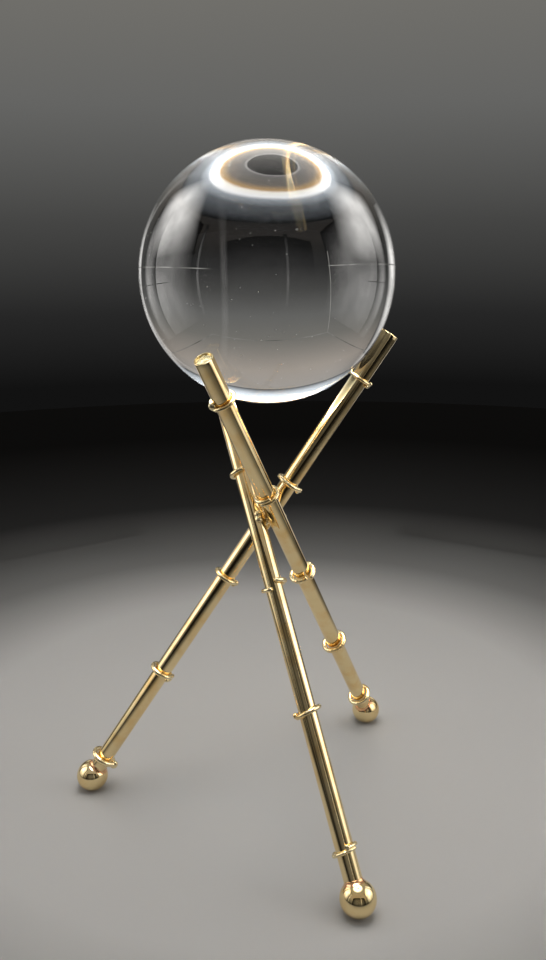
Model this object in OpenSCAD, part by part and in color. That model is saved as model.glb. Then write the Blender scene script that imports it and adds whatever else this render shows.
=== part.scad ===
// Clear crystal ball resting in a soldered tripod of three crossed bamboo-style tubes.
// Millimetres, +Z up. The origin is on the floor, under the point where the legs cross.

/* [Ball] */
// Diameter of the crystal ball
ball_d = 80; // [60:1:100]
// Clearance left between the ball and each tube it rests on
ball_gap = 0.1; // [0.05:0.05:0.3]

/* [Leg tubes] */
// Outside diameter of the leg tubes
tube_d = 6; // [5:0.1:7.5]
// Wall of the leg tubes
tube_wall = 0.6; // [0.4:0.05:1]
// Height above the floor at which the legs cross
crossing_h = 109; // [90:1:135]
// Lean of the legs from upright, in degrees
leg_lean = 32.6; // [28:0.1:38]
// Compass heading in which the first leg rises, in degrees from +X
leg_heading = 236.3; // [0:0.1:360]
// Length of tube beyond the place where the ball touches it
tube_past_ball = 3.8; // [3:0.1:12]
// Least gap between crossing tubes, which the solder fills
crossing_gap = 0.1; // [0.05:0.05:0.5]
// How far the legs and rings stray from an even tripod, as soldered by hand
hand_set = 1; // [0:0.1:1]

/* [Ball feet] */
// Diameter of the ball feet
foot_d = 11.5; // [10:0.1:14]
// Diameter of the flat that each foot stands on
foot_flat_d = 3.4; // [1:0.1:5]
// Depth of the seat for the tube, below the top of the foot ball
foot_seat = 2.6; // [1.8:0.1:4]
// Length of the stud inside the tube
stud_up = 7; // [4:0.5:12]
// Length of the stud inside the foot, below the tube
stud_down = 3; // [2:0.1:3.5]

/* [Tube plugs] */
// Length of the plug in each upper tube end
plug_len = 4; // [2:0.5:10]
// Depth of the plug's face below the tube's lip
plug_recess = 0.35; // [0.1:0.05:1]

/* [Node rings] */
// Diameter of the wire of the bamboo node rings
ring_wire_d = 1.1; // [0.8:0.05:1.3]
// Distance along the leg from the foot ball's centre to the first ring
ring_first = 11.9; // [11.5:0.1:16]
// Distance along the leg from the third ring up to the crossing
ring_below_crossing = 28; // [12:0.5:40]
// Distance along the leg from the crossing up to the fourth ring
ring_above_crossing = 13.5; // [12:0.5:25]
// Clearance between the ball and the highest ring of an even leg
ring_ball_gap = 0.65; // [0.5:0.05:3]
// Clearance between the two ends of a ring where they pass each other
ring_end_gap = 0.12; // [0.05:0.01:0.4]
// Angle by which each end of a ring runs past the middle of its split
ring_overlap = 9; // [0:1:20]

/* [Solder] */
// Radius of the solder bead at each crossing, as a part of the tube's diameter
bead_fill = 0.42; // [0.4:0.01:0.48]
// Radius of the smaller beads at its ends, as a part of the tube's diameter
bead_end_fill = 0.32; // [0.3:0.01:0.36]
// Distance from the middle of the bead to the smaller ones, as a part of the tube's diameter
bead_reach = 0.35; // [0.3:0.01:0.4]
// Film of solder between the tubes and the plugs, studs and rings soldered to them
solder_film = 0.03; // [0.02:0.01:0.1]

/* [Hidden] */
$fn = 96;

// Legs: A stands back right and rises to the front left, B stands front right and rises
// to the back left, C stands left and rises to the right.
A = 0;
B = 1;
C = 2;
even_turn = [0, 240, 120];

// What the hand soldering added to each leg (A, B, C): degrees, then millimetres
lean_error = [0.5, -1, 0.45];
heading_error = [-1.3, 1.7, -0.4];
waist_error = [0.15, 0.4, 0.25];
crossing_error = [1, -0.9, -0.1];
tube_end_error = [-2.2, 0, 2.2];

// How far each ring slipped along its leg, in mm, and turned about it, in degrees,
// counted from the foot up
ring_slip = [
    [0.1, -2.8, -1.9, -2.8, -1.3],
    [2.4, 4.6, 5.8, 4.4, 1.9],
    [-2.6, -1.5, 0.9, 0, 1.2]
];
ring_turn = [
    [8, -6, 5, 10, -14],
    [25, -20, 12, -30, 0],
    [55, 20, -15, 30, 40]
];

// Legs as straight lines: where each passes closest to the Z axis, and which way it rises.
// Three lines that lean alike and are set round the axis evenly come this close to it
// when each clears the next by one tube diameter and the crossing gap.
pair_distance = tube_d + crossing_gap;
waist_r = pair_distance / 3 * sqrt(3 + 0.75 * pow(tan(leg_lean), 2));

function lean(k) = leg_lean + hand_set * lean_error[k];
function heading(k) = leg_heading + even_turn[k] + hand_set * heading_error[k];
function waist(k) = waist_r + hand_set * waist_error[k];
function waist_point(k) = [
    -waist(k) * sin(heading(k)),
    waist(k) * cos(heading(k)),
    crossing_h + hand_set * crossing_error[k]
];
function rise(k) = [
    sin(lean(k)) * cos(heading(k)),
    sin(lean(k)) * sin(heading(k)),
    cos(lean(k))
];

// The ball settles where it is equally far from all three tubes
seat_distance = ball_d / 2 + tube_d / 2 + ball_gap;
settling_steps = 8;
function from_leg(k, p) =
    let (w = p - waist_point(k)) w - (w * rise(k)) * rise(k);
function settle(p, steps) =
    let (
        off = [for (k = [A, B, C]) from_leg(k, p)],
        miss = [for (v = off) norm(v) - seat_distance],
        dir = [for (v = off) v / norm(v)],
        across = [cross(dir[B], dir[C]), cross(dir[C], dir[A]), cross(dir[A], dir[B])],
        next = p - (miss * across) / (dir[A] * across[A])
    )
    steps == 0 ? p : settle(next, steps - 1);
first_guess = [0, 0, crossing_h + seat_distance / sin(leg_lean)];
ball_centre = settle(first_guess, settling_steps);

// Each tube runs from its seat in the foot ball to a little past the ball
foot_r = foot_d / 2;
foot_h = sqrt(pow(foot_r, 2) - pow(foot_flat_d / 2, 2));
tube_start = foot_r - foot_seat;
function foot_centre(k) =
    waist_point(k) + rise(k) * (foot_h - waist_point(k)[2]) / rise(k)[2];
function crossing_at(k) = (waist_point(k) - foot_centre(k)) * rise(k);
function ball_contact(k) = (ball_centre - foot_centre(k)) * rise(k);
function tube_end(k) = ball_contact(k) + tube_past_ball + hand_set * tube_end_error[k];
tube_bore = tube_d - 2 * tube_wall;
stud_d = tube_bore - 2 * solder_film;

// Rings: two half turns of wire that part axially towards the split and pass each other there.
// Three are spaced evenly from the foot to below the crossing, one sits above the crossing,
// and the highest one clears the ball.
ring_r = tube_d / 2 + solder_film + ring_wire_d / 2;
ring_step = ring_wire_d + ring_end_gap;
ring_part = asin(ring_step / (4 * ring_r));
ring_clear_r = ball_d / 2 + ring_r + ring_wire_d / 2 + ring_ball_gap;
ring_below_ball = sqrt(pow(ring_clear_r, 2) - pow(seat_distance, 2)) + ring_step / 2;
function even_rings(k) =
    let (third = crossing_at(k) - ring_below_crossing)
    [
        ring_first,
        (ring_first + third) / 2,
        third,
        crossing_at(k) + ring_above_crossing,
        ball_contact(k) - ring_below_ball
    ];
function ring_at(k, i) = even_rings(k)[i] + hand_set * ring_slip[k][i];
// Turn about the leg's own axis that points a split to the front, which is -Y
function front_turn(k) = atan2(-cos(heading(k)), -cos(lean(k)) * sin(heading(k)));

// Where two legs come closest: the middle of the gap between them
function crossing_point(j, k) =
    let (
        apart = waist_point(k) - waist_point(j),
        n = cross(rise(j), rise(k)),
        on_j = waist_point(j) + rise(j) * (cross(apart, rise(k)) * n) / (n * n),
        on_k = waist_point(k) + rise(k) * (cross(apart, rise(j)) * n) / (n * n)
    )
    (on_j + on_k) / 2;
function between(j, k) = (rise(j) + rise(k)) / norm(rise(j) + rise(k));

brass = "#d9b45a";
solder = "#c99a55";
crystal = "#e8ecee";
cut = foot_d * 2;

module on_leg(k) {
    translate(foot_centre(k)) rotate([0, lean(k), heading(k)]) children();
}

module crystal_ball() {
    color(crystal, 0.4) translate(ball_centre) sphere(d = ball_d, $fn = 180);
}

module leg_tube(k) {
    color(brass) on_leg(k) difference() {
        translate([0, 0, tube_start]) cylinder(d = tube_d, h = tube_end(k) - tube_start);
        translate([0, 0, tube_start - 1])
            cylinder(d = tube_bore, h = tube_end(k) - tube_start + 2);
    }
}

module foot(k) {
    color(brass) difference() {
        translate(foot_centre(k)) sphere(d = foot_d);
        translate([0, 0, -cut / 2] + [foot_centre(k)[0], foot_centre(k)[1], 0])
            cube(cut, center = true);
        on_leg(k) translate([0, 0, tube_start]) cylinder(d = tube_d, h = foot_seat + 1);
        on_leg(k) translate([0, 0, tube_start - stud_down])
            cylinder(d = stud_d + 2 * solder_film, h = stud_down + 1);
    }
}

module foot_stud(k) {
    color(brass) on_leg(k) translate([0, 0, tube_start - stud_down])
        cylinder(d = stud_d, h = stud_down + stud_up);
}

module tube_plug(k) {
    color(solder) on_leg(k) translate([0, 0, tube_end(k) - plug_recess - plug_len])
        cylinder(d = tube_bore - 2 * solder_film, h = plug_len);
}

module half_ring(part) {
    translate([-ring_r, 0, 0]) rotate([0, -part, 0]) translate([ring_r, 0, 0])
        rotate([0, 0, -ring_overlap]) rotate_extrude(angle = 180 + ring_overlap)
            translate([ring_r, 0]) circle(d = ring_wire_d, $fn = 32);
}

module node_ring(k, i) {
    color(brass) on_leg(k) translate([0, 0, ring_at(k, i)])
        rotate([0, 0, front_turn(k) + hand_set * ring_turn[k][i]]) {
            half_ring(ring_part);
            mirror([0, 1, 0]) half_ring(-ring_part);
        }
}

module crossing_solder() {
    color(solder) difference() {
        for (pair = [[A, B], [B, C], [C, A]])
            translate(crossing_point(pair[0], pair[1])) {
                sphere(r = bead_fill * tube_d, $fn = 40);
                for (side = [-1, 1])
                    translate(side * bead_reach * tube_d * between(pair[0], pair[1]))
                        sphere(r = bead_end_fill * tube_d, $fn = 40);
            }
        for (k = [A, B, C])
            on_leg(k) cylinder(d = tube_d, h = tube_end(k));
    }
}

crystal_ball();
leg_tube(A);  // leg_tube_a
leg_tube(B);  // leg_tube_b
leg_tube(C);  // leg_tube_c
foot(A);  // foot_a
foot(B);  // foot_b
foot(C);  // foot_c
foot_stud(A);  // foot_stud_a
foot_stud(B);  // foot_stud_b
foot_stud(C);  // foot_stud_c
tube_plug(A);  // tube_plug_a
tube_plug(B);  // tube_plug_b
tube_plug(C);  // tube_plug_c
node_ring(A, 0);  // ring_a1
node_ring(A, 1);  // ring_a2
node_ring(A, 2);  // ring_a3
node_ring(A, 3);  // ring_a4
node_ring(A, 4);  // ring_a5
node_ring(B, 0);  // ring_b1
node_ring(B, 1);  // ring_b2
node_ring(B, 2);  // ring_b3
node_ring(B, 3);  // ring_b4
node_ring(B, 4);  // ring_b5
node_ring(C, 0);  // ring_c1
node_ring(C, 1);  // ring_c2
node_ring(C, 2);  // ring_c3
node_ring(C, 3);  // ring_c4
node_ring(C, 4);  // ring_c5
crossing_solder();
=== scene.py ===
"""Clear crystal ball resting in a soldered tripod of three bamboo-style brass tubes.

Metres throughout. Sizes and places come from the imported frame. The values named below are what the
frame leaves out: rounded lips, fillets, lumps, wire ends, the finish of each piece, and the studio.
"""
import math

import bmesh
import bpy
from mathutils import Matrix, Vector, noise


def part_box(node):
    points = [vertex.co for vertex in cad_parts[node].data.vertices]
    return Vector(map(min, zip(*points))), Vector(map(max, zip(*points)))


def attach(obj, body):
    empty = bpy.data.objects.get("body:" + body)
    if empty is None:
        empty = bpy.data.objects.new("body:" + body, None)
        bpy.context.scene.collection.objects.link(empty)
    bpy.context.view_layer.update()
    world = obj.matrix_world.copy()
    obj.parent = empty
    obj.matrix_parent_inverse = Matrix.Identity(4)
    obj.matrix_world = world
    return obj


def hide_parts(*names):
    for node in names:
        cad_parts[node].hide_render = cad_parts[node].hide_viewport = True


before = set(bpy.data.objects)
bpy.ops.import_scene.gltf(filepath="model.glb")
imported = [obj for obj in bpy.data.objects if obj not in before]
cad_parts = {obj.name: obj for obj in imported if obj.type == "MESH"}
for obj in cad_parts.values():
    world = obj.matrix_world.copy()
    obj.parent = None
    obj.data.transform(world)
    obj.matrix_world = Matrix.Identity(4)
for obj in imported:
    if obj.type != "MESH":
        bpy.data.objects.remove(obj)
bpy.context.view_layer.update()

MM = 0.001
LEGS = "abc"
RINGS_PER_LEG = 5

# Turned brass
TUBE_SIDES = 96
TUBE_STEPS = 150
TUBE_WANDER = 0.012 * MM
TUBE_WANDER_LENGTH = 22 * MM
TUBE_WANDER_TURNS = 0.7
LIP_ROUND = 0.22 * MM
LIP_STEPS = 5
FOOT_SIDES = 112
FOOT_STEPS = 72
NECK_FLARE = 0.75 * MM
NECK_HEIGHT = 1.3 * MM
NECK_STEPS = 8
NECK_CURVE = 2.2
NECK_GAP = 0.04 * MM
NECK_LUMPS = 0.22 * MM
PLUG_SIDES = 72
PLUG_ROWS = 26
PLUG_CHAMFER = 0.15 * MM
PLUG_CLUMP_WIDTH = 0.9 * MM
PLUG_CLUMP_HEIGHT = 0.16 * MM
PLUG_EDGE_SINK = 0.12 * MM

# Node rings, numbered from the foot up. Turns are in degrees from the front, more to the right, and
# lengths are in mm: wire diameter, turn of the split, sweep of the wire, rise from its first end to
# its last, tilt and the turn it tilts up towards, slack and the turn it hangs out towards, how far
# the tail bends away from the tube, lumps as a share of the wire, and radius of the end bead.
RING_SHAPES = {
    "a1": dict(wire=1.75, split=150, sweep=352, rise=0.5, tilt=9, tilt_to=80, slack=0.18, slack_to=0,
               tail=0.0, lumps=0.10, bead=0.0),
    "a2": dict(wire=1.85, split=178, sweep=350, rise=0.7, tilt=8, tilt_to=75, slack=0.2, slack_to=-20,
               tail=0.0, lumps=0.10, bead=0.0),
    "a3": dict(wire=1.85, split=22, sweep=352, rise=1.1, tilt=8, tilt_to=70, slack=0.2, slack_to=0,
               tail=0.0, lumps=0.12, bead=0.0),
    "a4": dict(wire=1.4, split=-15, sweep=425, rise=1.5, tilt=5, tilt_to=60, slack=0.0, slack_to=0,
               tail=0.0, lumps=0.1, bead=0.0),
    "a5": dict(wire=1.3, split=-66, sweep=376, rise=1.1, tilt=6, tilt_to=70, slack=0.05, slack_to=0,
               tail=0.0, lumps=0.08, bead=1.2),
    "b1": dict(wire=1.2, split=40, sweep=-420, rise=1.1, tilt=11, tilt_to=75, slack=0.1, slack_to=-60,
               tail=0.6, lumps=0.45, bead=0.8),
    "b2": dict(wire=1.5, split=-78, sweep=352, rise=0.9, tilt=10, tilt_to=85, slack=0.1, slack_to=90,
               tail=0.4, lumps=0.1, bead=0.85),
    "b3": dict(wire=1.5, split=4, sweep=-338, rise=2.6, tilt=2, tilt_to=75, slack=0.1, slack_to=60,
               tail=0.3, lumps=0.2, bead=0.0),
    "b4": dict(wire=1.5, split=70, sweep=340, rise=0.7, tilt=5, tilt_to=80, slack=0.12, slack_to=-80,
               tail=0.0, lumps=0.2, bead=0.0),
    "b5": dict(wire=1.0, split=160, sweep=352, rise=0.8, tilt=4, tilt_to=0, slack=0.0, slack_to=0,
               tail=0.0, lumps=0.12, bead=0.0),
    "c1": dict(wire=1.9, split=80, sweep=338, rise=1.5, tilt=4, tilt_to=-90, slack=0.12, slack_to=-80,
               tail=1.0, lumps=0.10, bead=1.3),
    "c2": dict(wire=1.55, split=62, sweep=420, rise=1.5, tilt=3, tilt_to=-60, slack=0.15, slack_to=-60,
               tail=0.2, lumps=0.1, bead=0.0),
    "c3": dict(wire=1.5, split=64, sweep=380, rise=1.1, tilt=4, tilt_to=-80, slack=0.12, slack_to=-30,
               tail=0.4, lumps=0.16, bead=0.85),
    "c4": dict(wire=1.6, split=70, sweep=372, rise=0.9, tilt=5, tilt_to=-80, slack=0.1, slack_to=-30,
               tail=0.8, lumps=0.14, bead=0.0),
    "c5": dict(wire=1.15, split=68, sweep=410, rise=1.1, tilt=3, tilt_to=-80, slack=0.05, slack_to=60,
               tail=0.3, lumps=0.1, bead=0.65),
}
RING_POINTS = 240
RING_SIDES = 18
RING_GAP = 0.03 * MM
RING_LUMP_SCALE = 620.0
RING_LUMP_GAIN = 3.0
RING_END_ROUND = 42.0
RING_END_LEAST = 0.05
TAIL_START = 0.9
BEAD_PLACE = 0.985
BEAD_SHAPE = (0.8, 1.0, 1.15)
BEAD_LUMPS = 2.2
BEAD_LEVELS = 4

# Crossing solder: how softly it fills between the tubes, how far its skin stands off them, how far
# it runs from each crossing and how fast it thins out past that, its beads and lumps, the rounds of
# smoothing it flows through, and the margin and grid of the volume it is drawn from
FILLET = 1.0 * MM
SOLDER_SKIN = -0.28 * MM
SOLDER_REACH = 4.2 * MM
SOLDER_TAPER = 1.2
SOLDER_BEAD = 1.35 * MM
SOLDER_LUMPS = 0.3 * MM
SOLDER_LUMP_SCALE = 330.0
SOLDER_FLOW = 8
SOLDER_MARGIN = (7 * MM, 7 * MM, 8 * MM)
SOLDER_GRID = {"Resolution X": 150, "Resolution Y": 150, "Resolution Z": 170}

# Beads of solder left on the tubes: the leg, then how far to the front, to the right and up the leg
# (mm) from where it passes the leg before it
SOLDER_DRIPS = [
    ("b", (2.4, 1.4, 1.9)),
    ("b", (2.4, 1.2, 0.2)),
    ("a", (-2.4, 1.6, -1.5)),
    ("c", (-2.2, 1.6, 1.2)),
]

# Crystal ball and the dust on it
CRYSTAL_IOR = 1.517
BALL_LEVELS = 7
DUST_GRAINS = 190
DUST_SIZE = 0.16 * MM
DUST_LEAST = (0.3, 0.3, 0.25)
DUST_MOST = (1.2, 1.0, 0.5)
DUST_HIGHEST = 0.85
DUST_SEED = 11


def box_middle(name):
    low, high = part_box(name)
    return (low + high) / 2


def leg_frame(letter):
    """The leg's own frame: origin at the foot ball's centre, X to the front, Y right, Z up the tube."""
    stud = box_middle("foot_stud_" + letter)
    up = (box_middle("tube_plug_" + letter) - stud).normalized()
    foot = box_middle("foot_" + letter)
    along = ((foot.x - stud.x) * up.x + (foot.y - stud.y) * up.y) / (up.x ** 2 + up.y ** 2)
    centre = stud + along * up
    front = Vector((0, -1, 0)) - up * up.dot(Vector((0, -1, 0)))
    front.normalize()
    right = up.cross(front)
    return Matrix.Translation(centre) @ Matrix((front, right, up)).transposed().to_4x4()


def reach(name, leg):
    """How far a CAD node runs along a leg, and its least and greatest distance from the axis."""
    to_leg = leg.inverted()
    points = [to_leg @ vertex.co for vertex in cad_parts[name].data.vertices]
    along = [p.z for p in points]
    away = [math.hypot(p.x, p.y) for p in points]
    return min(along), max(along), min(away), max(away)


def to_object(name, bm, materials, smooth=True):
    """Turns a bmesh into a linked object at the origin, with outward faces."""
    bmesh.ops.recalc_face_normals(bm, faces=bm.faces)
    mesh = bpy.data.meshes.new(name)
    bm.to_mesh(mesh)
    bm.free()
    for material in materials:
        mesh.materials.append(material)
    for polygon in mesh.polygons:
        polygon.use_smooth = smooth
    piece = bpy.data.objects.new(name, mesh)
    bpy.context.scene.collection.objects.link(piece)
    return piece


def turned(profile, sides, closed, wander=None):
    """A bmesh turned about Z from (radius, height) points, with its lay in a UV map."""
    bm = bmesh.new()
    lay = bm.loops.layers.uv.new("lay")
    rows = []
    for radius, height in profile:
        if radius <= 0:
            rows.append([bm.verts.new((0, 0, height))])
            continue
        row = []
        for side in range(sides):
            angle = 2 * math.pi * side / sides
            r = radius + (wander(angle, height, radius) if wander else 0)
            row.append(bm.verts.new((r * math.cos(angle), r * math.sin(angle), height)))
        rows.append(row)
    count = len(rows) if closed else len(rows) - 1
    length = 0
    for i in range(count):
        lower, upper = rows[i], rows[(i + 1) % len(rows)]
        here, there = profile[i], profile[(i + 1) % len(rows)]
        step = math.hypot(there[0] - here[0], there[1] - here[1])
        for side in range(sides):
            following = (side + 1) % sides
            corners = [lower[side % len(lower)], lower[following % len(lower)],
                       upper[following % len(upper)], upper[side % len(upper)]]
            places = [(side, 0), (side + 1, 0), (side + 1, 1), (side, 1)]
            kept = [j for j in range(4) if corners[j] not in corners[:j]]
            face = bm.faces.new([corners[j] for j in kept])
            for loop, j in zip(face.loops, kept):
                loop[lay].uv = (places[j][0] / sides, (length + step * places[j][1]) / MM)
        length += step
    return bm


def arc(centre, radius, start, end, steps):
    """Points of a profile on an arc, angles in degrees from the +radius direction."""
    points = []
    for i in range(steps + 1):
        angle = math.radians(start + (end - start) * i / steps)
        points.append((centre[0] + radius * math.cos(angle), centre[1] + radius * math.sin(angle)))
    return points


# Node helpers, for materials and for Geometry Nodes trees alike

def feed(tree, socket, value):
    if isinstance(value, bpy.types.NodeSocket):
        tree.links.new(value, socket)
    elif value is not None:
        socket.default_value = value


def node(tree, kind, values=None, **settings):
    """Adds a node, sets its properties and feeds its inputs by name or number."""
    made = tree.nodes.new(kind)
    for name, value in settings.items():
        setattr(made, name, value)
    for name, value in (values or {}).items():
        feed(tree, made.inputs[name], value)
    return made


def maths(tree, operation, *values):
    return node(tree, "ShaderNodeMath", dict(enumerate(values)), operation=operation).outputs[0]


def vectors(tree, operation, *values):
    return node(tree, "ShaderNodeVectorMath", dict(enumerate(values)), operation=operation).outputs[0]


def ramp(tree, factor, stops):
    made = node(tree, "ShaderNodeValToRGB", {"Fac": factor})
    elements = made.color_ramp.elements
    while len(elements) < len(stops):
        elements.new(1.0)
    for element, (place, colour) in zip(elements, stops):
        element.position = place
        element.color = tuple(colour) + (1,)
    return made.outputs["Color"]


def remap(tree, value, low, high, to_low, to_high):
    values = {"Value": value, "From Min": low, "From Max": high, "To Min": to_low, "To Max": to_high}
    return node(tree, "ShaderNodeMapRange", values).outputs["Result"]


def new_material(name):
    material = bpy.data.materials.new(name)
    material.use_nodes = True
    tree = material.node_tree
    return material, tree, tree.nodes["Principled BSDF"]


def stretched(tree, coordinates, scale):
    return node(tree, "ShaderNodeMapping", {"Vector": coordinates, "Scale": scale}).outputs["Vector"]


def cloud(tree, coordinates, scale, detail=3.0, rough=0.55, warp=0.0):
    values = {"Vector": coordinates, "Scale": scale, "Detail": detail, "Roughness": rough}
    values["Distortion"] = warp
    return node(tree, "ShaderNodeTexNoise", values).outputs["Fac"]


# Materials

PALE_GOLD = (0.96, 0.77, 0.43)
DEEP_GOLD = (0.9, 0.63, 0.28)
ROSY_NECK = (0.87, 0.5, 0.26)


def polished_brass(name, pale, deep, lay=None, low_rough=0.05, high_rough=0.13, streaks=0.5,
                   pits=0.02, neck=None):
    """Lacquered, hand-polished brass: warm mottling, polishing lines and a fine tooth.

    The neck, where given, is the length along the lay in mm from which heat has turned it rosy."""
    material, tree, shader = new_material(name)
    place = node(tree, "ShaderNodeTexCoord").outputs["Object"]
    mottle = cloud(tree, place, 140.0, detail=4.0)
    brightest = [min(1, c * 1.03) for c in pale]
    colour = ramp(tree, mottle, [(0.3, deep), (0.55, pale), (0.8, brightest)])
    if lay:
        along = node(tree, "ShaderNodeUVMap", uv_map=lay).outputs["UV"]
        lines = cloud(tree, stretched(tree, along, (160.0, 0.12, 1.0)), 1.0, detail=5.0, rough=0.7)
    else:
        lines = cloud(tree, stretched(tree, place, (900.0, 3500.0, 900.0)), 1.0, detail=5.0, rough=0.7)
    scuffs = cloud(tree, place, 420.0, detail=6.0, rough=0.7, warp=0.6)
    if neck:
        along = node(tree, "ShaderNodeUVMap", uv_map="lay").outputs["UV"]
        length = node(tree, "ShaderNodeSeparateXYZ", {0: along}).outputs["Y"]
        heat = remap(tree, length, neck - 0.3, neck + 0.2, 0.0, 1.0)
        mix = {"Factor": heat, 6: colour, 7: ROSY_NECK + (1,)}
        colour = node(tree, "ShaderNodeMix", mix, data_type="RGBA").outputs[2]
    rough_lines = maths(tree, "MULTIPLY", lines, streaks)
    rough = maths(tree, "ADD", rough_lines, maths(tree, "MULTIPLY", scuffs, 1 - streaks))
    feed(tree, shader.inputs["Roughness"], remap(tree, rough, 0.35, 0.7, low_rough, high_rough))
    feed(tree, shader.inputs["Base Color"], colour)
    shader.inputs["Metallic"].default_value = 1.0
    height = maths(tree, "ADD", maths(tree, "MULTIPLY", lines, 0.6), maths(tree, "MULTIPLY", scuffs, 0.4))
    bump = node(tree, "ShaderNodeBump", {"Strength": pits, "Distance": 0.05 * MM, "Height": height})
    feed(tree, shader.inputs["Normal"], bump.outputs["Normal"])
    return material


def soldered(name, pale, deep, rosy, low_rough, high_rough, grit):
    """Flowed solder: rosy in its hollows, paler where it was rubbed, with a grainy skin."""
    material, tree, shader = new_material(name)
    place = node(tree, "ShaderNodeTexCoord").outputs["Object"]
    flow = cloud(tree, place, 520.0, detail=4.0, warp=0.8)
    hollow = node(tree, "ShaderNodeNewGeometry").outputs["Pointiness"]
    worn = maths(tree, "ADD", maths(tree, "MULTIPLY", flow, 0.7), maths(tree, "MULTIPLY", hollow, 0.6))
    feed(tree, shader.inputs["Base Color"], ramp(tree, worn, [(0.42, rosy), (0.52, deep), (0.66, pale)]))
    grain = cloud(tree, place, 2600.0, detail=5.0, rough=0.65)
    feed(tree, shader.inputs["Roughness"], remap(tree, grain, 0.3, 0.7, low_rough, high_rough))
    shader.inputs["Metallic"].default_value = 1.0
    bump = node(tree, "ShaderNodeBump", {"Strength": grit, "Distance": 0.08 * MM, "Height": grain})
    feed(tree, shader.inputs["Normal"], bump.outputs["Normal"])
    return material


def clear_crystal():
    """Optical crystal: perfectly clear, with the faintest film left by wiping."""
    material, tree, shader = new_material("clear_crystal")
    place = node(tree, "ShaderNodeTexCoord").outputs["Object"]
    film = cloud(tree, stretched(tree, place, (60.0, 60.0, 160.0)), 1.0, detail=4.0, warp=0.7)
    tint = ramp(tree, film, [(0.3, (0.985, 0.985, 0.98)), (0.7, (1, 1, 1))])
    feed(tree, shader.inputs["Base Color"], tint)
    feed(tree, shader.inputs["Roughness"], remap(tree, film, 0.55, 0.8, 0.0, 0.012))
    shader.inputs["Transmission Weight"].default_value = 1.0
    shader.inputs["IOR"].default_value = CRYSTAL_IOR
    return material


def pale_dust():
    material, tree, shader = new_material("pale_dust")
    place = node(tree, "ShaderNodeTexCoord").outputs["Object"]
    tone = cloud(tree, place, 900.0)
    grey = ramp(tree, tone, [(0.3, (0.7, 0.69, 0.66)), (0.7, (0.9, 0.9, 0.88))])
    feed(tree, shader.inputs["Base Color"], grey)
    shader.inputs["Roughness"].default_value = 0.8
    return material


tube_brass = polished_brass("tube_brass", PALE_GOLD, DEEP_GOLD, lay="lay", streaks=0.75)
wire_brass = polished_brass("wire_brass", (0.97, 0.82, 0.5), (0.91, 0.67, 0.32),
                            low_rough=0.16, high_rough=0.3, streaks=0.3, pits=0.15)
bare_brass = polished_brass("bare_brass", (0.83, 0.66, 0.36), (0.7, 0.5, 0.24),
                            low_rough=0.25, high_rough=0.4)
crossing_gold = soldered("crossing_gold", (0.96, 0.79, 0.46), (0.9, 0.64, 0.33), (0.72, 0.4, 0.22),
                         low_rough=0.18, high_rough=0.36, grit=0.1)
plug_gold = soldered("plug_gold", (0.95, 0.82, 0.48), (0.82, 0.62, 0.3), (0.6, 0.4, 0.2),
                     low_rough=0.22, high_rough=0.5, grit=0.7)
crystal = clear_crystal()
dust = pale_dust()


# Pieces


def finish(piece, body, slot, *replaced):
    """Every piece rides on its body and stands for its CAD nodes, which are hidden; the slot is not used.
    """
    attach(piece, body)
    if replaced:
        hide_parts(*replaced)


def tube(letter, leg):
    """A leg tube with rounded lips, drawn by hand, so its wall wanders by a hair."""
    start, end, bore, outside = reach("leg_tube_" + letter, leg)
    lip = LIP_ROUND
    phase = 2.1 * LEGS.index(letter)

    def wander(angle, height, radius):
        if radius < outside - 2 * lip:
            return 0
        turns = TUBE_WANDER_TURNS
        spot = (math.cos(angle) * turns + phase, math.sin(angle) * turns, height / TUBE_WANDER_LENGTH)
        return TUBE_WANDER * noise.noise(Vector(spot))

    step = (end - start - 2 * lip) / TUBE_STEPS
    profile = arc((outside - lip, start + lip), lip, -90, 0, LIP_STEPS)
    profile += [(outside, start + lip + step * i) for i in range(1, TUBE_STEPS)]
    profile += arc((outside - lip, end - lip), lip, 0, 90, LIP_STEPS)
    profile += arc((bore + lip, end - lip), lip, 90, 180, LIP_STEPS)
    profile += arc((bore + lip, start + lip), lip, 180, 270, LIP_STEPS)
    bm = turned(profile, TUBE_SIDES, True, wander)
    bm.transform(leg)
    piece = to_object("tube_" + letter, bm, [tube_brass])
    finish(piece, "stand", "polished_brass", "leg_tube_" + letter)


def neck_of(letter, leg):
    """A foot ball's radius, and the angle above its middle at which its neck begins."""
    low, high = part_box("foot_" + letter)
    radius = (high.x - low.x) / 2
    _, _, _, tube_radius = reach("leg_tube_" + letter, leg)
    return radius, math.degrees(math.acos((tube_radius + NECK_FLARE) / radius))


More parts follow.
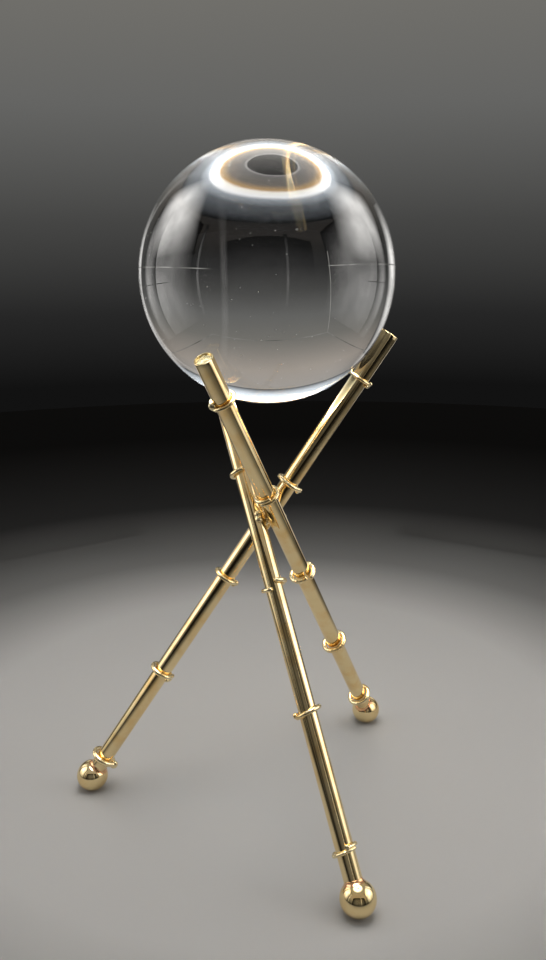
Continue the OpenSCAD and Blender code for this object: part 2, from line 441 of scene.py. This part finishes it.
def foot(letter, leg, brass):
    """A foot ball with its seat for the tube, a soldered neck and a worn flat to stand on."""
    radius, neck_angle = neck_of(letter, leg)
    seat, _, _, tube_radius = reach("leg_tube_" + letter, leg)
    hole, _, _, stud_radius = reach("foot_stud_" + letter, leg)
    neck_height = radius * math.sin(math.radians(neck_angle))
    neck_top = neck_height + NECK_HEIGHT
    profile = [(0, -radius)] + arc((0, 0), radius, -89, neck_angle, FOOT_STEPS)
    for i in range(1, NECK_STEPS + 1):
        share = i / NECK_STEPS
        flare = NECK_FLARE * (1 - share) ** NECK_CURVE
        profile.append((tube_radius + NECK_GAP + flare, neck_height + NECK_HEIGHT * share))
    profile += [(tube_radius, neck_top), (tube_radius, seat)]
    profile += [(stud_radius, seat), (stud_radius, hole), (0, hole)]
    seed = LEGS.index(letter) + 3.3

    def wander(angle, height, radius_here):
        if height < neck_height * 0.98 or radius_here <= tube_radius:
            return 0
        spot = Vector((math.cos(angle) * 1.4, math.sin(angle) * 1.4, seed))
        return NECK_LUMPS * noise.noise(spot)

    bm = turned(profile, FOOT_SIDES, False, wander)
    bm.transform(leg)
    centre = leg.translation
    for vertex in bm.verts:
        if vertex.co.z < 0:
            vertex.co = centre + (vertex.co - centre) * (centre.z / (centre.z - vertex.co.z))
    piece = to_object("foot_ball_" + letter, bm, [brass])
    finish(piece, "stand", "polished_brass", "foot_" + letter)


def plug(letter, leg):
    """The clumpy end of the solder that closes the top of a tube."""
    start, end, _, radius = reach("tube_plug_" + letter, leg)
    profile = [(0, start), (radius, start), (radius, end - PLUG_CHAMFER)]
    profile += [(radius * (PLUG_ROWS - i) / PLUG_ROWS, end) for i in range(1, PLUG_ROWS)]
    profile += [(0, end)]
    bm = turned(profile, PLUG_SIDES, False)
    shift = Vector((7.0 * LEGS.index(letter), 0, 0))
    for vertex in bm.verts:
        if vertex.co.z > end - 0.01 * MM:
            away = math.hypot(vertex.co.x, vertex.co.y) / radius
            clump = noise.fractal(vertex.co / PLUG_CLUMP_WIDTH + shift, 0.8, 2.1, 4)
            vertex.co.z += PLUG_CLUMP_HEIGHT * clump - PLUG_EDGE_SINK * away * away
    bm.transform(leg)
    piece = to_object("plug_" + letter, bm, [plug_gold])
    finish(piece, "stand", "solder", "tube_plug_" + letter)


def grow(name, tree, values):
    """Runs a Geometry Nodes tree on an empty mesh and returns the result as a plain mesh object."""
    carrier = bpy.data.objects.new(name, bpy.data.meshes.new(name))
    bpy.context.scene.collection.objects.link(carrier)
    modifier = carrier.modifiers.new("grow", "NODES")
    modifier.node_group = tree
    for item in tree.interface.items_tree:
        if item.item_type == "SOCKET" and item.in_out == "INPUT" and item.name in values:
            modifier[item.identifier] = values[item.name]
    graph = bpy.context.evaluated_depsgraph_get()
    mesh = bpy.data.meshes.new_from_object(carrier.evaluated_get(graph))
    carrier.modifiers.remove(modifier)
    carrier.data = mesh
    mesh.name = name
    return carrier


def tree_with(name, inputs):
    """An empty Geometry Nodes tree with named inputs, its input node and its output socket."""
    tree = bpy.data.node_groups.new(name, "GeometryNodeTree")
    tree.interface.new_socket("Geometry", in_out="OUTPUT", socket_type="NodeSocketGeometry")
    for label, kind in inputs:
        tree.interface.new_socket(label, in_out="INPUT", socket_type="NodeSocket" + kind)
    source = tree.nodes.new("NodeGroupInput").outputs
    target = tree.nodes.new("NodeGroupOutput").inputs["Geometry"]
    return tree, source, target


def finished(tree, geometry, material, target):
    """Ends a tree: smooth, realised, with its material."""
    smooth = node(tree, "GeometryNodeSetShadeSmooth", {"Geometry": geometry}).outputs[0]
    real = node(tree, "GeometryNodeRealizeInstances", {"Geometry": smooth}).outputs[0]
    made = node(tree, "GeometryNodeSetMaterial", {"Geometry": real, "Material": material}).outputs[0]
    tree.links.new(made, target)


def ring_tree():
    """One wire bent round the tube: a split turn with a rise, a tilt, slack, a tail and a bead."""
    labels = ["Tube Radius", "Wire Radius", "Split Turn", "Sweep", "Rise", "Tilt", "Tilt Turn", "Slack",
              "Slack Turn", "Tail", "Lumps", "Bead Radius", "Seed"]
    inputs = [(label, "Float") for label in labels] + [("Finish", "Material")]
    tree, given, target = tree_with("node_ring_wire", inputs)
    line = node(tree, "GeometryNodeCurvePrimitiveLine", {"End": (0, 0, 1)}).outputs[0]
    line = node(tree, "GeometryNodeResampleCurve", {"Curve": line, "Count": RING_POINTS}).outputs[0]
    along = node(tree, "GeometryNodeSplineParameter").outputs["Factor"]
    from_middle = maths(tree, "SUBTRACT", along, 0.5)
    back = maths(tree, "ADD", given["Split Turn"], math.pi)
    angle = maths(tree, "MULTIPLY_ADD", from_middle, given["Sweep"], back)
    to_end = maths(tree, "DIVIDE", maths(tree, "SUBTRACT", along, TAIL_START), 1 - TAIL_START)
    out = maths(tree, "POWER", maths(tree, "MAXIMUM", to_end, 0.0), 2.0)
    radius = maths(tree, "ADD", given["Tube Radius"], given["Wire Radius"])
    radius = maths(tree, "ADD", radius, given["Slack"])
    radius = maths(tree, "MULTIPLY_ADD", out, given["Tail"], radius)
    x = maths(tree, "MULTIPLY", radius, maths(tree, "COSINE", angle))
    y = maths(tree, "MULTIPLY", radius, maths(tree, "SINE", angle))
    x = maths(tree, "MULTIPLY_ADD", given["Slack"], maths(tree, "COSINE", given["Slack Turn"]), x)
    y = maths(tree, "MULTIPLY_ADD", given["Slack"], maths(tree, "SINE", given["Slack Turn"]), y)
    lift = maths(tree, "COSINE", maths(tree, "SUBTRACT", angle, given["Tilt Turn"]))
    lift = maths(tree, "MULTIPLY", lift, radius)
    lift = maths(tree, "MULTIPLY", lift, maths(tree, "TANGENT", given["Tilt"]))
    z = maths(tree, "MULTIPLY_ADD", from_middle, given["Rise"], lift)
    place = node(tree, "ShaderNodeCombineXYZ", {0: x, 1: y, 2: z}).outputs[0]
    bent = node(tree, "GeometryNodeSetPosition", {"Geometry": line, "Position": place}).outputs[0]
    here = node(tree, "GeometryNodeInputPosition").outputs[0]
    lumpy = {"Vector": here, "W": given["Seed"], "Scale": RING_LUMP_SCALE, "Detail": 2.0}
    lump = node(tree, "ShaderNodeTexNoise", lumpy, noise_dimensions="4D").outputs["Fac"]
    lump = maths(tree, "SUBTRACT", lump, 0.5)
    lump = maths(tree, "MULTIPLY", lump, maths(tree, "MULTIPLY", given["Lumps"], RING_LUMP_GAIN))
    near_end = maths(tree, "MINIMUM", along, maths(tree, "SUBTRACT", 1.0, along))
    near_end = maths(tree, "MINIMUM", maths(tree, "MULTIPLY", near_end, RING_END_ROUND), 1.0)
    round_end = maths(tree, "POWER", maths(tree, "SUBTRACT", 1.0, near_end), 2.0)
    round_end = maths(tree, "SUBTRACT", 1.0, round_end)
    round_end = maths(tree, "MAXIMUM", maths(tree, "SQRT", round_end), RING_END_LEAST)
    thickness = maths(tree, "MULTIPLY", maths(tree, "ADD", 1.0, lump), round_end)
    thickness = maths(tree, "MULTIPLY", thickness, given["Wire Radius"])
    section = {"Resolution": RING_SIDES, "Radius": 1.0}
    outline = node(tree, "GeometryNodeCurvePrimitiveCircle", section).outputs[0]
    drawn = {"Curve": bent, "Profile Curve": outline, "Scale": thickness, "Fill Caps": True}
    wire = node(tree, "GeometryNodeCurveToMesh", drawn).outputs[0]
    end = node(tree, "GeometryNodeSampleCurve", {"Curves": bent, "Factor": BEAD_PLACE}, mode="FACTOR")
    drop = {"Radius": given["Bead Radius"], "Subdivisions": BEAD_LEVELS}
    drop = node(tree, "GeometryNodeMeshIcoSphere", drop).outputs[0]
    swell = vectors(tree, "SCALE", here, None, None, maths(tree, "MULTIPLY", lump, BEAD_LUMPS))
    drop = node(tree, "GeometryNodeSetPosition", {"Geometry": drop, "Offset": swell}).outputs[0]
    moved = {"Geometry": drop, "Translation": end.outputs["Position"], "Scale": BEAD_SHAPE}
    drop = node(tree, "GeometryNodeTransform", moved).outputs[0]
    has_bead = node(tree, "FunctionNodeCompare", {0: given["Bead Radius"], 1: 0.0},
                    operation="GREATER_THAN", data_type="FLOAT").outputs[0]
    bead = node(tree, "GeometryNodeSwitch", {"Switch": has_bead, "True": drop},
                input_type="GEOMETRY").outputs[0]
    both = node(tree, "GeometryNodeJoinGeometry")
    tree.links.new(wire, both.inputs[0])
    tree.links.new(bead, both.inputs[0])
    finished(tree, both.outputs[0], given["Finish"], target)
    return tree


def node_ring(tree, letter, number, leg):
    """Bends one ring to its own shape and sets it at its CAD node's height on the leg."""
    name = f"ring_{letter}{number}"
    shape = RING_SHAPES[f"{letter}{number}"]
    low, high, _, _ = reach(name, leg)
    _, _, _, tube_radius = reach("leg_tube_" + letter, leg)
    values = {
        "Tube Radius": tube_radius + RING_GAP,
        "Wire Radius": shape["wire"] / 2 * MM,
        "Split Turn": math.radians(shape["split"]),
        "Sweep": math.radians(shape["sweep"]),
        "Rise": shape["rise"] * MM,
        "Tilt": math.radians(shape["tilt"]),
        "Tilt Turn": math.radians(shape["tilt_to"]),
        "Slack": shape["slack"] * MM,
        "Slack Turn": math.radians(shape["slack_to"]),
        "Tail": shape["tail"] * MM,
        "Lumps": shape["lumps"],
        "Bead Radius": shape["bead"] * MM,
        "Seed": 3.7 * (RINGS_PER_LEG * LEGS.index(letter) + number),
        "Finish": wire_brass,
    }
    piece = grow("node_" + name, tree, values)
    piece.data.transform(leg @ Matrix.Translation((0, 0, (low + high) / 2)))
    finish(piece, "stand", "ring_wire", name)


def nearest_points(leg, other):
    """Where two legs' axes come closest: the point on each."""
    here, there = leg.translation, other.translation
    up, other_up = leg.col[2].xyz, other.col[2].xyz
    across = up.cross(other_up)
    apart = there - here
    on_leg = here + up * (apart.cross(other_up).dot(across) / across.length_squared)
    on_other = there + other_up * (apart.cross(up).dot(across) / across.length_squared)
    return on_leg, on_other


def distance(tree, here, point):
    ends = {0: here, 1: tuple(point)}
    return node(tree, "ShaderNodeVectorMath", ends, operation="DISTANCE").outputs["Value"]


def solder_tree(legs, crossings, drips):
    """Solder that has flowed into the gaps between the tubes, as one skin drawn from a volume."""
    inputs = [("Tube Radius", "Float"), ("Fillet", "Float"), ("Skin", "Float"), ("Reach", "Float"),
              ("Bead", "Float"), ("Lumps", "Float"), ("Finish", "Material")]
    tree, given, target = tree_with("crossing_solder_flow", inputs)
    here = node(tree, "GeometryNodeInputPosition").outputs[0]
    total = None
    for leg in legs:
        from_leg = vectors(tree, "SUBTRACT", here, tuple(leg.translation))
        aside = vectors(tree, "CROSS_PRODUCT", from_leg, tuple(leg.col[2].xyz))
        length = node(tree, "ShaderNodeVectorMath", {0: aside}, operation="LENGTH").outputs["Value"]
        depth = maths(tree, "SUBTRACT", given["Tube Radius"], length)
        depth = maths(tree, "DIVIDE", depth, given["Fillet"])
        share = maths(tree, "EXPONENT", depth)
        total = share if total is None else maths(tree, "ADD", total, share)
    inside = maths(tree, "MULTIPLY", maths(tree, "LOGARITHM", total, math.e), given["Fillet"])
    inside = maths(tree, "ADD", inside, given["Skin"])
    reached = None
    for crossing in crossings:
        far = distance(tree, here, crossing)
        reached = far if reached is None else maths(tree, "SMOOTH_MIN", reached, far, 0.6 * MM)
    beads = None
    for drip in drips:
        bead = maths(tree, "SUBTRACT", given["Bead"], distance(tree, here, drip))
        beads = bead if beads is None else maths(tree, "MAXIMUM", beads, bead)
    over = maths(tree, "MAXIMUM", maths(tree, "SUBTRACT", reached, given["Reach"]), 0.0)
    inside = maths(tree, "SUBTRACT", inside, maths(tree, "MULTIPLY", over, SOLDER_TAPER))
    inside = maths(tree, "SMOOTH_MAX", inside, beads, 0.5 * MM)
    lump = cloud(tree, here, SOLDER_LUMP_SCALE, detail=1.0, rough=0.5, warp=0.3)
    lump = maths(tree, "MULTIPLY", maths(tree, "SUBTRACT", lump, 0.5), given["Lumps"])
    density = maths(tree, "DIVIDE", maths(tree, "ADD", inside, lump), MM)
    low = Vector([min(c[i] for c in crossings) for i in range(3)]) - Vector(SOLDER_MARGIN)
    high = Vector([max(c[i] for c in crossings) for i in range(3)]) + Vector(SOLDER_MARGIN)
    block = {"Density": density, "Background": -5.0, "Min": tuple(low), "Max": tuple(high)}
    volume = node(tree, "GeometryNodeVolumeCube", {**block, **SOLDER_GRID})
    surface = {"Volume": volume.outputs[0], "Threshold": 0.0, "Adaptivity": 0.0}
    skin = node(tree, "GeometryNodeVolumeToMesh", surface)
    flowed = node(tree, "GeometryNodeBlurAttribute", {"Value": here, "Iterations": SOLDER_FLOW},
                  data_type="FLOAT_VECTOR").outputs[0]
    skin = node(tree, "GeometryNodeSetPosition", {"Geometry": skin.outputs[0], "Position": flowed})
    finished(tree, skin.outputs[0], given["Finish"], target)
    return tree


def crossing_solder(legs):
    pairs = [(legs["a"], legs["b"]), (legs["b"], legs["c"]), (legs["c"], legs["a"])]
    crossings = []
    for leg, other in pairs:
        on_leg, on_other = nearest_points(leg, other)
        crossings.append((on_leg + on_other) / 2)
    drips = []
    for letter, offset in SOLDER_DRIPS:
        before = LEGS[LEGS.index(letter) - 1]
        passing, _ = nearest_points(legs[letter], legs[before])
        drips.append(passing + legs[letter].to_3x3() @ Vector(offset) * MM)
    tree = solder_tree(list(legs.values()), crossings, drips)
    _, _, _, tube_radius = reach("leg_tube_a", legs["a"])
    values = {"Tube Radius": tube_radius, "Fillet": FILLET, "Skin": SOLDER_SKIN, "Reach": SOLDER_REACH,
              "Bead": SOLDER_BEAD, "Lumps": SOLDER_LUMPS, "Finish": crossing_gold}
    piece = grow("solder_at_crossing", tree, values)
    finish(piece, "stand", "solder", "crossing_solder")


def crystal_ball(centre, radius):
    bm = bmesh.new()
    bmesh.ops.create_icosphere(bm, subdivisions=BALL_LEVELS, radius=radius)
    bm.transform(Matrix.Translation(centre))
    piece = to_object("clear_ball", bm, [crystal])
    finish(piece, "ball", "crystal", "crystal_ball")


def dust_tree():
    """Grains of dust scattered on the ball, none on its top or underneath."""
    inputs = [("Ball Radius", "Float"), ("Grains", "Float"), ("Grain Size", "Float"), ("Seed", "Int"),
              ("Finish", "Material")]
    tree, given, target = tree_with("dust_on_crystal", inputs)
    sphere = {"Radius": given["Ball Radius"], "Subdivisions": 5}
    ball = node(tree, "GeometryNodeMeshIcoSphere", sphere).outputs[0]
    area = maths(tree, "MULTIPLY", maths(tree, "POWER", given["Ball Radius"], 2.0), 4 * math.pi)
    density = maths(tree, "DIVIDE", given["Grains"], area)
    normal = node(tree, "GeometryNodeInputNormal").outputs[0]
    upward = node(tree, "ShaderNodeSeparateXYZ", {0: normal}).outputs["Z"]
    slope = maths(tree, "ABSOLUTE", upward)
    on_side = node(tree, "FunctionNodeCompare", {0: slope, 1: DUST_HIGHEST},
                   operation="LESS_THAN", data_type="FLOAT").outputs[0]
    spots = node(tree, "GeometryNodeDistributePointsOnFaces",
                 {"Mesh": ball, "Selection": on_side, "Density": density, "Seed": given["Seed"]})
    speck = {"Radius": given["Grain Size"], "Subdivisions": 2}
    grain = node(tree, "GeometryNodeMeshIcoSphere", speck).outputs[0]
    sizes = {"Min": DUST_LEAST, "Max": DUST_MOST, "Seed": given["Seed"]}
    size = node(tree, "FunctionNodeRandomValue", sizes, data_type="FLOAT_VECTOR").outputs[0]
    laid = node(tree, "GeometryNodeInstanceOnPoints", {
        "Points": spots.outputs["Points"],
        "Instance": grain,
        "Rotation": spots.outputs["Rotation"],
        "Scale": size,
    }).outputs[0]
    finished(tree, laid, given["Finish"], target)
    return tree


def dust_on_ball(centre, radius):
    values = {"Ball Radius": radius, "Grains": float(DUST_GRAINS), "Grain Size": DUST_SIZE,
              "Seed": DUST_SEED, "Finish": dust}
    piece = grow("dust_on_ball", dust_tree(), values)
    piece.data.transform(Matrix.Translation(centre))
    finish(piece, "ball", "crystal")


# Studio: camera, floor, backdrop and lights

# The camera's place, its lens and sensor in mm, and its turns in degrees
CAMERA_PLACE = (-0.00253, -0.27359, 0.19405)
CAMERA_LENS = 31.73
CAMERA_SENSOR = 36
CAMERA_DOWN = 14.72
CAMERA_TURN = 0.965
CAMERA_ROLL = -0.43


def add_camera():
    data = bpy.data.cameras.new("camera")
    data.lens = CAMERA_LENS
    data.sensor_width = CAMERA_SENSOR
    data.dof.use_dof = False
    data.clip_start = 0.005
    camera = bpy.data.objects.new("camera", data)
    bpy.context.scene.collection.objects.link(camera)
    turn = Matrix.Rotation(math.radians(-CAMERA_TURN), 4, "Z")
    tip = Matrix.Rotation(math.radians(90 - CAMERA_DOWN), 4, "X")
    roll = Matrix.Rotation(math.radians(CAMERA_ROLL), 4, "Z")
    camera.matrix_world = Matrix.Translation(CAMERA_PLACE) @ turn @ tip @ roll
    bpy.context.scene.camera = camera


def backdrop():
    """Grey backdrop all round, dark low down and lighter above."""
    world = bpy.data.worlds.new("backdrop")
    bpy.context.scene.world = world
    world.use_nodes = True
    tree = world.node_tree
    way = node(tree, "ShaderNodeTexCoord").outputs["Generated"]
    up = node(tree, "ShaderNodeSeparateXYZ", {0: way}).outputs["Z"]
    share = remap(tree, up, -1, 1, 0, 1)
    stops = [(0.0, (0.004, 0.004, 0.004)), (0.43, (0.006, 0.006, 0.006)), (0.47, (0.02, 0.02, 0.02)),
             (0.52, (0.06, 0.06, 0.058)), (0.58, (0.13, 0.13, 0.125)), (0.64, (0.17, 0.165, 0.15)),
             (0.75, (0.36, 0.32, 0.28)), (1.0, (0.4, 0.4, 0.4))]
    tree.nodes["Background"].inputs["Strength"].default_value = 1.0
    feed(tree, tree.nodes["Background"].inputs["Color"], ramp(tree, share, stops))


FLOOR_RADIUS = 0.9
# Middle of the painted pool of light on the floor, and how far out its painted falloff runs into the dark
FLOOR_MIDDLE = (0, 0.06, 0)
FLOOR_PAINTED_FALLOFF = 0.6


def floor():
    """A pale floor with a painted pool of light: pale in the middle, darkening outwards by painted
    falloff into the dark round it.
    """
    bm = bmesh.new()
    bmesh.ops.create_circle(bm, cap_ends=True, radius=FLOOR_RADIUS, segments=96)
    material, tree, shader = new_material("pale_floor")
    place = node(tree, "ShaderNodeTexCoord").outputs["Object"]
    away = distance(tree, place, FLOOR_MIDDLE)
    painted_falloff = remap(tree, away, 0.0, FLOOR_PAINTED_FALLOFF, 0.0, 1.0)
    # Painted pool of light: pale in the middle, darkening to near black outwards, as painted falloff of
    # the light
    stops = [(0.0, (0.33, 0.325, 0.315)), (0.22, (0.31, 0.306, 0.3)), (0.34, (0.12, 0.12, 0.117)),
             (0.55, (0.02, 0.02, 0.02)), (1.0, (0.003, 0.003, 0.003))]
    feed(tree, shader.inputs["Base Color"], ramp(tree, painted_falloff, stops))
    shader.inputs["Roughness"].default_value = 0.8
    shader.inputs["Specular IOR Level"].default_value = 0.02
    piece = to_object("floor", bm, [material], smooth=False)


def emitter(name, bm, place, strength_of):
    """A soft light made of a glowing sheet that the camera does not see."""
    material, tree, _ = new_material(name)
    tree.nodes.remove(tree.nodes["Principled BSDF"])
    spot = node(tree, "ShaderNodeTexCoord").outputs["Object"]
    colour, strength = strength_of(tree, spot)
    glow = node(tree, "ShaderNodeEmission", {"Color": colour, "Strength": strength})
    feed(tree, tree.nodes["Material Output"].inputs["Surface"], glow.outputs[0])
    sheet = to_object(name, bm, [material], smooth=False)
    sheet.matrix_world = place
    sheet.visible_camera = False
    sheet.visible_shadow = False
    return sheet


# The round light, from the ball's centre
LIGHT_ABOVE = 0.16
LIGHT_ASIDE = 0.01
LIGHT_BEHIND = 0.01
LIGHT_RADIUS = 0.2
LIGHT_STRENGTH = 17.0


def ring_light(centre):
    """Round overhead light: a bright ring about a dark opening, fading out towards its edge."""
    def glow(tree, spot):
        away = node(tree, "ShaderNodeVectorMath", {0: spot}, operation="LENGTH").outputs["Value"]
        share = maths(tree, "DIVIDE", away, LIGHT_RADIUS)
        stops = [(0.0, (0.01, 0.01, 0.01)), (0.185, (0.01, 0.01, 0.01)), (0.2, (0.3, 0.29, 0.28)),
                 (0.215, (0.13, 0.125, 0.12)), (0.34, (0.17, 0.15, 0.13)), (0.41, (0.5, 0.33, 0.16)),
                 (0.44, (1, 0.96, 0.88)), (0.51, (1, 1, 1)), (0.55, (0.34, 0.37, 0.4)),
                 (0.66, (0.1, 0.11, 0.12)), (1.0, (0.0, 0.0, 0.0))]
        return ramp(tree, share, stops), LIGHT_STRENGTH

    bm = bmesh.new()
    bmesh.ops.create_circle(bm, cap_ends=True, radius=LIGHT_RADIUS, segments=64)
    place = Matrix.Translation(centre + Vector((LIGHT_ASIDE, LIGHT_BEHIND, LIGHT_ABOVE)))
    emitter("ring_light", bm, place, glow)


# Soft panels and strips round the object: middle, turn about Z in degrees, width and height, level,
# and the share of that level that shows through the crystal
SIDE_LIGHTS = [
    dict(name="left_panel", at=(-0.3, 0.03, 0.2), turn=90, size=(0.36, 0.46), level=2.3, through=0.14),
    dict(name="right_panel", at=(0.3, -0.05, 0.2), turn=90, size=(0.42, 0.46), level=2.5, through=0.14),
    dict(name="left_rim_panel", at=(-0.29, 0.17, 0.2), turn=90, size=(0.16, 0.44), level=1.4),
    dict(name="right_rim_panel", at=(0.29, 0.12, 0.2), turn=90, size=(0.1, 0.44), level=1.4),
    dict(name="left_strip", at=(-0.33, -0.2, 0.22), turn=60, size=(0.04, 0.5), level=1.4),
    dict(name="right_strip", at=(0.12, -0.42, 0.22), turn=-18, size=(0.03, 0.5), level=1.1),
    dict(name="low_left_glow", at=(-0.15, 0.27, 0.085), turn=32, size=(0.15, 0.16), level=0.75),
    dict(name="low_right_glow", at=(0.16, 0.27, 0.075), turn=-32, size=(0.15, 0.16), level=0.8),
    dict(name="front_panel", at=(0.0, -0.8, 0.3), turn=0, size=(1.3, 0.8), level=0.14),
]


def side_light(name, at, turn, size, level, through=1.0):
    """A soft panel, brightest in the middle and fading to its edges.

    The large panels show only faintly through the crystal, so that it stays clear from every side."""
    width, height = size

    def glow(tree, spot):
        parts = node(tree, "ShaderNodeSeparateXYZ", {0: spot}).outputs
        across = maths(tree, "ABSOLUTE", maths(tree, "DIVIDE", parts["X"], width / 2))
        upright = maths(tree, "ABSOLUTE", maths(tree, "DIVIDE", parts["Y"], height / 2))
        across = remap(tree, across, 0.3, 1.0, 1.0, 0.0)
        upright = remap(tree, upright, 0.3, 1.0, 1.0, 0.0)
        mottle = remap(tree, cloud(tree, spot, 9.0, detail=3.0), 0.3, 0.7, 0.6, 1.3)
        strength = maths(tree, "MULTIPLY", maths(tree, "MULTIPLY", across, upright), mottle)
        strength = maths(tree, "MULTIPLY", strength, level)
        refracted = node(tree, "ShaderNodeLightPath").outputs["Is Transmission Ray"]
        strength = maths(tree, "MULTIPLY", strength, remap(tree, refracted, 0, 1, 1, through))
        return (1.0, 0.98, 0.95, 1), strength

    bm = bmesh.new()
    bmesh.ops.create_grid(bm, x_segments=1, y_segments=1, size=0.5)
    bm.transform(Matrix.Diagonal((width, height, 1, 1)))
    upright = Matrix.Rotation(math.radians(90), 4, "X")
    place = Matrix.Translation(at) @ Matrix.Rotation(math.radians(turn), 4, "Z") @ upright
    emitter(name, bm, place, glow)


# Faint seams of the light tent behind the object, each as the points it runs through
SEAM_RADIUS = 0.0009
TENT_SEAMS = [
    [(-0.3, 0.0, 0.4), (-0.14, 0.5, 0.315), (0.14, 0.5, 0.315), (0.3, 0.0, 0.4)],
    [(-0.14, 0.5, 0.315), (-0.12, 0.5, 0.13)],
    [(-0.3, 0.0, 0.17), (-0.12, 0.5, 0.16)],
    [(0.3, 0.0, 0.17), (0.12, 0.5, 0.165)],
]


def tent_seams():
    """The pale seams of the light tent, which the crystal bends into thin curved lines."""
    def glow(tree, spot):
        return (0.85, 0.84, 0.78, 1), remap(tree, cloud(tree, spot, 11.0), 0.35, 0.65, 0.06, 0.42)

    bm = bmesh.new()
    for seam in TENT_SEAMS:
        for start, end in zip(seam, seam[1:]):
            start, end = Vector(start), Vector(end)
            along = end - start
            turn = along.to_track_quat("Z", "Y").to_matrix().to_4x4()
            place = Matrix.Translation((start + end) / 2) @ turn
            bmesh.ops.create_cone(bm, cap_ends=True, segments=6, radius1=SEAM_RADIUS,
                                  radius2=SEAM_RADIUS, depth=along.length, matrix=place)
    emitter("tent_seams", bm, Matrix.Identity(4), glow)


ball_low, ball_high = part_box("crystal_ball")
ball_centre = (ball_low + ball_high) / 2
ball_radius = (ball_high.z - ball_low.z) / 2

add_camera()
backdrop()
floor()
crystal_ball(ball_centre, ball_radius)
dust_on_ball(ball_centre, ball_radius)
ring_light(ball_centre)
for light in SIDE_LIGHTS:
    side_light(**light)
tent_seams()
bpy.context.scene.view_settings.view_transform = "Standard"

legs = {letter: leg_frame(letter) for letter in LEGS}
foot_radius, foot_neck_angle = neck_of("a", legs["a"])
length_to_neck = foot_radius * math.radians(90 + foot_neck_angle) / MM
foot_brass = polished_brass("foot_brass", (0.96, 0.77, 0.42), (0.88, 0.61, 0.26),
                            low_rough=0.04, high_rough=0.1, streaks=0.3, neck=length_to_neck)
wire_tree = ring_tree()
for letter, leg in legs.items():
    tube(letter, leg)
    foot(letter, leg, foot_brass)
    plug(letter, leg)
    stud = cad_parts["foot_stud_" + letter]
    stud.data.materials.clear()
    stud.data.materials.append(bare_brass)
    for number in range(1, RINGS_PER_LEG + 1):
        node_ring(wire_tree, letter, number, leg)
crossing_solder(legs)
